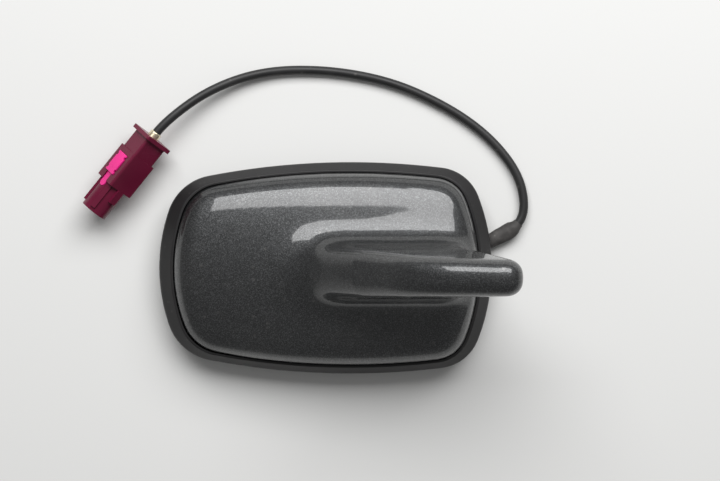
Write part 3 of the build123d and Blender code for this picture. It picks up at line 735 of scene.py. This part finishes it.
class AERIAL_OT_sleeve(Operator):
    """Makes the heat-shrink sleeve that hugs the cable's first stretch"""

    bl_idname = "aerial.sleeve"
    bl_label = "Sleeve"

    def execute(self, context):
        settings = context.scene.aerial_lead
        facets = context.scene.aerial_stage.facets
        points, walked = line_points()
        count = sum(1 for distance in walked if distance <= settings.sleeve_length)
        if count < 4:
            raise RuntimeError("the sleeve is shorter than its first three steps")
        outer = settings.sleeve_diameter / 2
        inner = settings.diameter / 2
        last = count - 1
        stations = [(0, inner, 1.0)]
        for index in range(count):
            share_along = walked[index] / walked[last]
            ripple = 1.0 + sum(size * math.sin(walked[index] * waves) for size, waves in SLEEVE_RIPPLES)
            bulge = settings.sleeve_bulge * math.exp(-(((share_along - BULGE_PLACE) / BULGE_SPREAD) ** 2))
            near_end = min(1.0, (1.0 - share_along) / TAPER_SHARE)
            full = near_end * near_end * (3.0 - 2.0 * near_end)
            radius = END_RADII * inner + (outer * ripple - END_RADII * inner) * full
            stations.append((index, radius, 1.0 + bulge * full))
        stations += [(index, inner, 1.0) for index in range(last, 0, -1)]
        shape = bmesh.new()
        rings = []
        for index, radius, widen in stations:
            along = points[min(index + 1, last)] - points[max(index - 1, 0)]
            rings.append(ring(shape, points[index], along, radius, widen, facets))
        for near, far in zip(rings, rings[1:] + rings[:1]):
            bmesh.ops.bridge_loops(shape, edges=near + far)
        bmesh.ops.recalc_face_normals(shape, faces=shape.faces)
        mesh = smooth_mesh(shape, "shrink_sleeve", SLEEVE_CORNER_ANGLE)
        tube = moulded(
            "shrink_tube",
            settings.shrink,
            grain=0.0009,
            depth=0.00007,
            rough=0.66,
            dust=0.3,
            patch=0.0022,
            contrast=4.0,
            Specular_IOR_Level=0.3,
        )
        place_piece("shrink_sleeve", mesh, tube, ["cable_sleeve"])
        return {"FINISHED"}


class AERIAL_OT_plug(Operator):
    """Makes the plug's housing and lock with moulded edges, and finishes its ferrule and contacts"""

    bl_idname = "aerial.plug"
    bl_label = "Plug"

    def execute(self, context):
        settings = context.scene.aerial_plug
        wine = moulded(
            "wine_plastic",
            settings.housing,
            grain=0.00025,
            depth=0.000006,
            rough=0.25,
            dust=0.06,
            Specular_IOR_Level=0.3,
        )
        pink = moulded(
            "pink_plastic",
            settings.lock,
            grain=0.00025,
            depth=0.000005,
            rough=0.28,
            dust=0.03,
            Specular_IOR_Level=0.3,
        )
        dull_gold = [channel * DULL_GOLD for channel in settings.ferrule]
        gold = metal("gold_plate", dull_gold, settings.ferrule, rough=0.34, spot=0.0012, depth=0.000004)
        softened("plug_housing", "housing", wine, settings.edge)
        softened("plug_lock", "lock", pink, settings.edge * LOCK_EDGE)
        for node in ("crimp_ferrule", "plug_shell", "plug_pin"):
            dress(node, gold)
        insulator = moulded(
            "insulator_plastic", (0.82, 0.81, 0.77), grain=0.0004, depth=0.000006, rough=0.4, dust=0.0
        )
        dress("plug_insulator", insulator)
        return {"FINISHED"}


class AERIAL_OT_declare(Operator):
    """Measures distances along the lead's smooth line, and uses nothing of them"""

    bl_idname = "aerial.declare"
    bl_label = "Cord facts"

    def execute(self, context):
        _, walked = line_points()
        return {"FINISHED"}


class AERIAL_OT_stage(Operator):
    """Makes the pale floor, the soft light and the camera"""

    bl_idname = "aerial.stage"
    bl_label = "Stage"

    def execute(self, context):
        scene = context.scene
        settings = scene.aerial_stage
        self.floor(scene, settings)
        self.light(scene, settings)
        self.camera(scene, settings)
        scene.view_settings.view_transform = "Standard"
        return {"FINISHED"}

    def floor(self, scene, settings):
        """A wide pale floor under the spigot's foot."""
        shape = bmesh.new()
        bmesh.ops.create_grid(shape, x_segments=1, y_segments=1, size=FLOOR_HALF)
        bmesh.ops.translate(shape, verts=shape.verts, vec=(0.0, 0.0, CAD_LOW.z))
        mesh = bpy.data.meshes.new("floor")
        shape.to_mesh(mesh)
        shape.free()
        piece = bpy.data.objects.new("floor", mesh)
        scene.collection.objects.link(piece)
        pale = (*settings.floor, 1.0)
        material, _, _ = new_finish("pale_floor", Base_Color=pale, Roughness=0.85, Specular_IOR_Level=0.2)
        wear(piece, material)

    def light(self, scene, settings):
        """Even light from all round and a large soft panel on the far side."""
        world = bpy.data.worlds.new("studio")
        world.use_nodes = True
        sky = world.node_tree.nodes["Background"]
        sky.inputs["Color"].default_value = (1.0, 1.0, 1.0, 1.0)
        sky.inputs["Strength"].default_value = settings.sky
        scene.world = world
        data = bpy.data.lights.new("panel", "AREA")
        data.shape = "RECTANGLE"
        data.size, data.size_y = PANEL_SIZE
        data.energy = settings.panel
        lamp = bpy.data.objects.new("panel", data)
        scene.collection.objects.link(lamp)
        lamp.location = PANEL_PLACE
        lamp.rotation_euler = (Vector(PANEL_AIM) - lamp.location).to_track_quat("-Z", "Y").to_euler()

    def camera(self, scene, settings):
        """A camera nearly overhead, with the far side at the top of the picture."""
        data = bpy.data.cameras.new("camera")
        data.sensor_fit = "HORIZONTAL"
        data.sensor_width = SENSOR_WIDTH
        data.lens = settings.lens
        data.clip_start = NEAR_CLIP
        eye = bpy.data.objects.new("camera", data)
        scene.collection.objects.link(eye)
        place = Vector(settings.camera)
        look = (Vector(settings.aim) - place).normalized()
        right = look.cross(Vector((0.0, 1.0, 0.0))).normalized()
        turn = Matrix((right, right.cross(look), -look)).transposed()
        eye.matrix_world = Matrix.Translation(place) @ turn.to_4x4()
        scene.camera = eye


class AERIAL_PT_panel(Panel):
    """Lists the aerial's pieces and their settings"""

    bl_idname = "AERIAL_PT_panel"
    bl_label = "Shark fin aerial"
    bl_space_type = "VIEW_3D"
    bl_region_type = "UI"
    bl_category = "Aerial"

    def draw(self, context):
        for settings, operators in SECTIONS:
            box = self.layout.box()
            group = getattr(context.scene, settings)
            for name in group.bl_rna.properties.keys():
                if name not in ("name", "rna_type"):
                    box.prop(group, name)
            for operator in operators:
                box.operator(operator.bl_idname)


SETTINGS = (
    ("aerial_skin", SkinSettings),
    ("aerial_paint", PaintSettings),
    ("aerial_rubber", RubberSettings),
    ("aerial_lead", LeadSettings),
    ("aerial_plug", PlugSettings),
    ("aerial_stage", StageSettings),
)
SECTIONS = (
    ("aerial_skin", ()),
    ("aerial_paint", (AERIAL_OT_cover,)),
    ("aerial_rubber", (AERIAL_OT_rubber, AERIAL_OT_base, AERIAL_OT_inside)),
    ("aerial_lead", (AERIAL_OT_lead, AERIAL_OT_sleeve)),
    ("aerial_plug", (AERIAL_OT_plug, AERIAL_OT_declare)),
    ("aerial_stage", (AERIAL_OT_stage,)),
)
OPERATORS = tuple(operator for _, operators in SECTIONS for operator in operators)


def register():
    for name, group in SETTINGS:
        bpy.utils.register_class(group)
        setattr(bpy.types.Scene, name, PointerProperty(type=group))
    for operator in OPERATORS:
        bpy.utils.register_class(operator)
    bpy.utils.register_class(AERIAL_PT_panel)


def unregister():
    bpy.utils.unregister_class(AERIAL_PT_panel)
    for operator in reversed(OPERATORS):
        bpy.utils.unregister_class(operator)
    for name, group in reversed(SETTINGS):
        delattr(bpy.types.Scene, name)
        bpy.utils.unregister_class(group)


def main():
    register()
    bpy.ops.aerial.cover()
    bpy.ops.aerial.rubber()
    bpy.ops.aerial.base()
    bpy.ops.aerial.inside()
    bpy.ops.aerial.lead()
    bpy.ops.aerial.sleeve()
    bpy.ops.aerial.plug()
    bpy.ops.aerial.declare()
    bpy.ops.aerial.stage()


if __name__ == "__main__":
    main()
